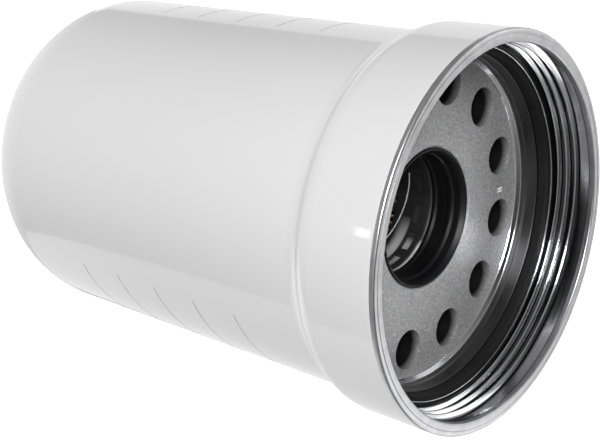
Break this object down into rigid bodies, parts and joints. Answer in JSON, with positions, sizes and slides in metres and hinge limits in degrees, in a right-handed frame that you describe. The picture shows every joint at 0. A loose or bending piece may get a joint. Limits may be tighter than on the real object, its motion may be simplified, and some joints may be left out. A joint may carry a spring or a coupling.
{
  "type": "spin-on oil filter",
  "caption": "Spin-on hydraulic or lube oil filter: painted steel canister, internal collar thread, gasket, perforated flow plate, pleated element and bypass valve inside.",
  "frame": {"origin": "centre of the closed end's flat, on the filter's axis, which it stands on", "axes": "+Z along the axis towards the open, threaded end; +X through the centre of one flow hole"},
  "size_m": [0.12, 0.12, 0.184],
  "materials": {
    "can_paint": "gloss",
    "machined_steel": "machined",
    "gasket_rubber": "matt",
    "plate_steel": "blasted and brushed",
    "seal_rubber": "satin",
    "valve_rubber": "matt",
    "plated_steel": "zinc plated",
    "cap_steel": "galvanised",
    "adhesive": "matt",
    "filter_paper": "resin cured",
    "band_fibre": "glued roving",
    "tube_steel": "galvanised",
    "spring_steel": "drawn wire"
  },
  "bodies": {
    "housing": {"canister": "can_paint", "thread_ring": "machined_steel", "main_gasket": "gasket_rubber", "flow_plate": "plate_steel", "bore_seal": "seal_rubber", "anti_drainback_valve": "valve_rubber", "valve_clamp_ring": "plated_steel", "element_spring": "spring_steel", "spring_seat": "plated_steel"},
    "element": {"element_top_cap": "cap_steel", "top_bond": "adhesive", "pleated_media": "filter_paper", "spacing_bands": "band_fibre", "centre_tube": "tube_steel", "bottom_bond": "adhesive", "element_bottom_cap": "cap_steel", "bypass_valve_body": "plated_steel", "bypass_spring": "spring_steel", "bypass_spring_cage": "plated_steel"},
    "bypass_plunger": {"bypass_poppet": "plated_steel", "bypass_seal": "valve_rubber"}
  },
  "joints": [
    {"name": "element_slide", "type": "slide", "parent": "housing", "child": "element", "axis": [0, 0, -1], "range_m": [0, 0.003], "stiffness_N_per_m": 8000, "springref_m": -0.01, "deforming": ["element_spring"]},
    {"name": "bypass_lift", "type": "slide", "parent": "element", "child": "bypass_plunger", "axis": [0, 0, 1], "range_m": [0, 0.004], "stiffness_N_per_m": 3000, "springref_m": -0.006, "deforming": ["bypass_spring"]}
  ]
}
